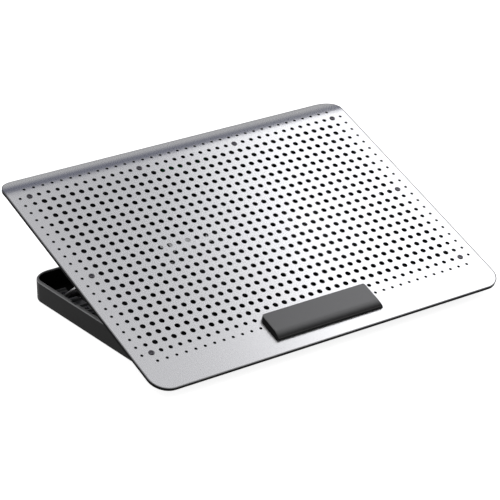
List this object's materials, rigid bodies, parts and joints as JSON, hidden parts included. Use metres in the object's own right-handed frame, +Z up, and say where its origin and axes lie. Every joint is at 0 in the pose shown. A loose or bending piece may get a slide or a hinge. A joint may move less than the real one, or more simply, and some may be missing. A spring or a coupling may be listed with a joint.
{
  "type": "laptop cooling pad",
  "caption": "Tilting laptop cooler with a perforated metal deck, front stopper bar, fans under the deck, fold-down support legs and a low slotted base tray.",
  "frame": {"origin": "middle of the footprint, on the surface the rubber feet stand on, with the deck at its stored tilt", "axes": "+X across the deck to the user's right, +Y away from the user to the raised edge, +Z up"},
  "size_m": [0.38, 0.265, 0.1133],
  "materials": {
    "panel_aluminium": "satin",
    "frame_plastic": "satin",
    "tray_plastic": "satin",
    "bar_plastic": "satin",
    "cover_plastic": "satin",
    "fan_plastic": "satin",
    "stator_plastic": "matte",
    "steel": "satin",
    "dark_screw": "satin",
    "board_green": "gloss",
    "chip_black": "matte",
    "tongue_white": "matte",
    "plug_white": "matte",
    "cable_black": "matte",
    "leg_steel": "satin",
    "skirt_plastic": "matte",
    "foot_rubber": "matte",
    "rack_plastic": "satin",
    "magnet": "matte",
    "knob_plastic": "satin"
  },
  "bodies": {
    "base": {"base_tray": "tray_plastic", "base_feet": "foot_rubber", "hinge_pins": "steel", "rack_left": "rack_plastic", "rack_right": "rack_plastic", "rack_screws": "dark_screw"},
    "deck": {"top_panel": "panel_aluminium", "panel_screws": "dark_screw", "stopper_bar": "skirt_plastic", "stopper_cap": "bar_plastic", "stopper_screws": "steel", "deck_frame": "frame_plastic", "rear_strip": "frame_plastic", "fan_cover": "cover_plastic", "cover_screws": "steel", "fan_left_frame": "fan_plastic", "fan_right_frame": "fan_plastic", "fan_left_stator": "stator_plastic", "fan_right_stator": "stator_plastic", "fan_screws": "steel", "hub_housing": "cover_plastic", "hub_screws": "steel", "hub_board": "board_green", "hub_chips": "chip_black", "usb_shells": "steel", "usb_tongues": "tongue_white", "switch_body": "chip_black", "fan_lead_left": "cable_black", "fan_lead_right": "cable_black", "lead_plugs": "plug_white", "leg_brackets": "steel", "leg_pins": "steel", "bracket_screws": "steel"},
    "leg_left_body": {"leg_left": "leg_steel", "leg_left_foot": "foot_rubber"},
    "leg_right_body": {"leg_right": "leg_steel", "leg_right_foot": "foot_rubber"},
    "rotor_left": {"fan_left_rotor": "fan_plastic", "fan_left_magnet": "magnet", "fan_left_shaft": "steel"},
    "rotor_right": {"fan_right_rotor": "fan_plastic", "fan_right_magnet": "magnet", "fan_right_shaft": "steel"},
    "switch_slider": {"switch_knob": "knob_plastic"}
  },
  "joints": [
    {"name": "deck_tilt", "type": "hinge", "parent": "base", "child": "deck", "pos_m": [0, -0.09793, 0.01699], "axis": [1, 0, 0], "range_deg": [-22.21, 7.8]},
    {"name": "leg_left_fold", "type": "hinge", "parent": "deck", "child": "leg_left_body", "pos_m": [-0.15, 0.01353, 0.06251], "axis": [1, 0, 0], "range_deg": [-20, 56]},
    {"name": "leg_right_fold", "type": "hinge", "parent": "deck", "child": "leg_right_body", "pos_m": [0.15, 0.01353, 0.06251], "axis": [1, 0, 0], "range_deg": [-20, 56]},
    {"name": "fan_left_spin", "type": "hinge", "parent": "deck", "child": "rotor_left", "pos_m": [-0.066, -0.00377, 0.05328], "axis": [0, -0.3781, 0.9258], "continuous": true},
    {"name": "fan_right_spin", "type": "hinge", "parent": "deck", "child": "rotor_right", "pos_m": [0.066, -0.00377, 0.05328], "axis": [0, -0.3781, 0.9258], "continuous": true},
    {"name": "switch_slide", "type": "slide", "parent": "deck", "child": "switch_slider", "axis": [1, 0, 0], "range_m": [0, 0.003]}
  ],
  "couplings": [
    {"joint": "leg_left_fold", "follows": "deck_tilt", "ratio": -2.5},
    {"joint": "leg_right_fold", "follows": "deck_tilt", "ratio": -2.5}
  ]
}
